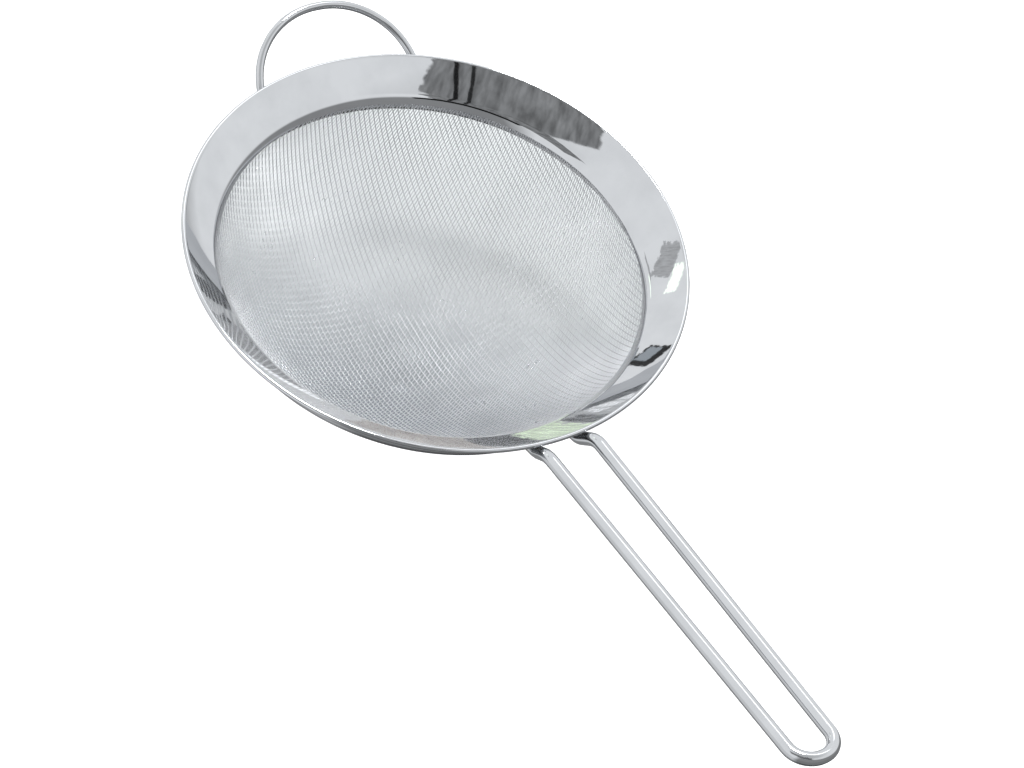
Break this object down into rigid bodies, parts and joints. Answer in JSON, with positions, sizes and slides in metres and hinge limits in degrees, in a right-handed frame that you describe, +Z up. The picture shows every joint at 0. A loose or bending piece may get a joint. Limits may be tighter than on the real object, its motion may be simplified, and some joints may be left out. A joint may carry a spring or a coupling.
{
  "type": "tea strainer",
  "caption": "Round stainless steel tea strainer: wide dished rim with a rolled edge, woven wire bowl, long bent-wire handle and a small wire rest loop opposite it.",
  "frame": {"origin": "centre of the clamp ring's flat foot, on the bowl's axis", "axes": "+Z up out of the bowl along its axis, +X from the bowl's axis along the handle, +Y to the left of the handle"},
  "size_m": [0.1874, 0.095, 0.0451],
  "materials": {
    "polished_sheet": "mirror-polished stainless steel sheet",
    "woven_wire": "plain-woven bright stainless steel wire, about 30 wires to the inch",
    "polished_wire": "polished stainless steel wire"
  },
  "bodies": {
    "root": {"rim": "polished_sheet", "mesh_bowl": "woven_wire", "clamp_ring": "polished_sheet", "handle": "polished_wire", "rest_loop": "polished_wire"}
  },
  "joints": []
}
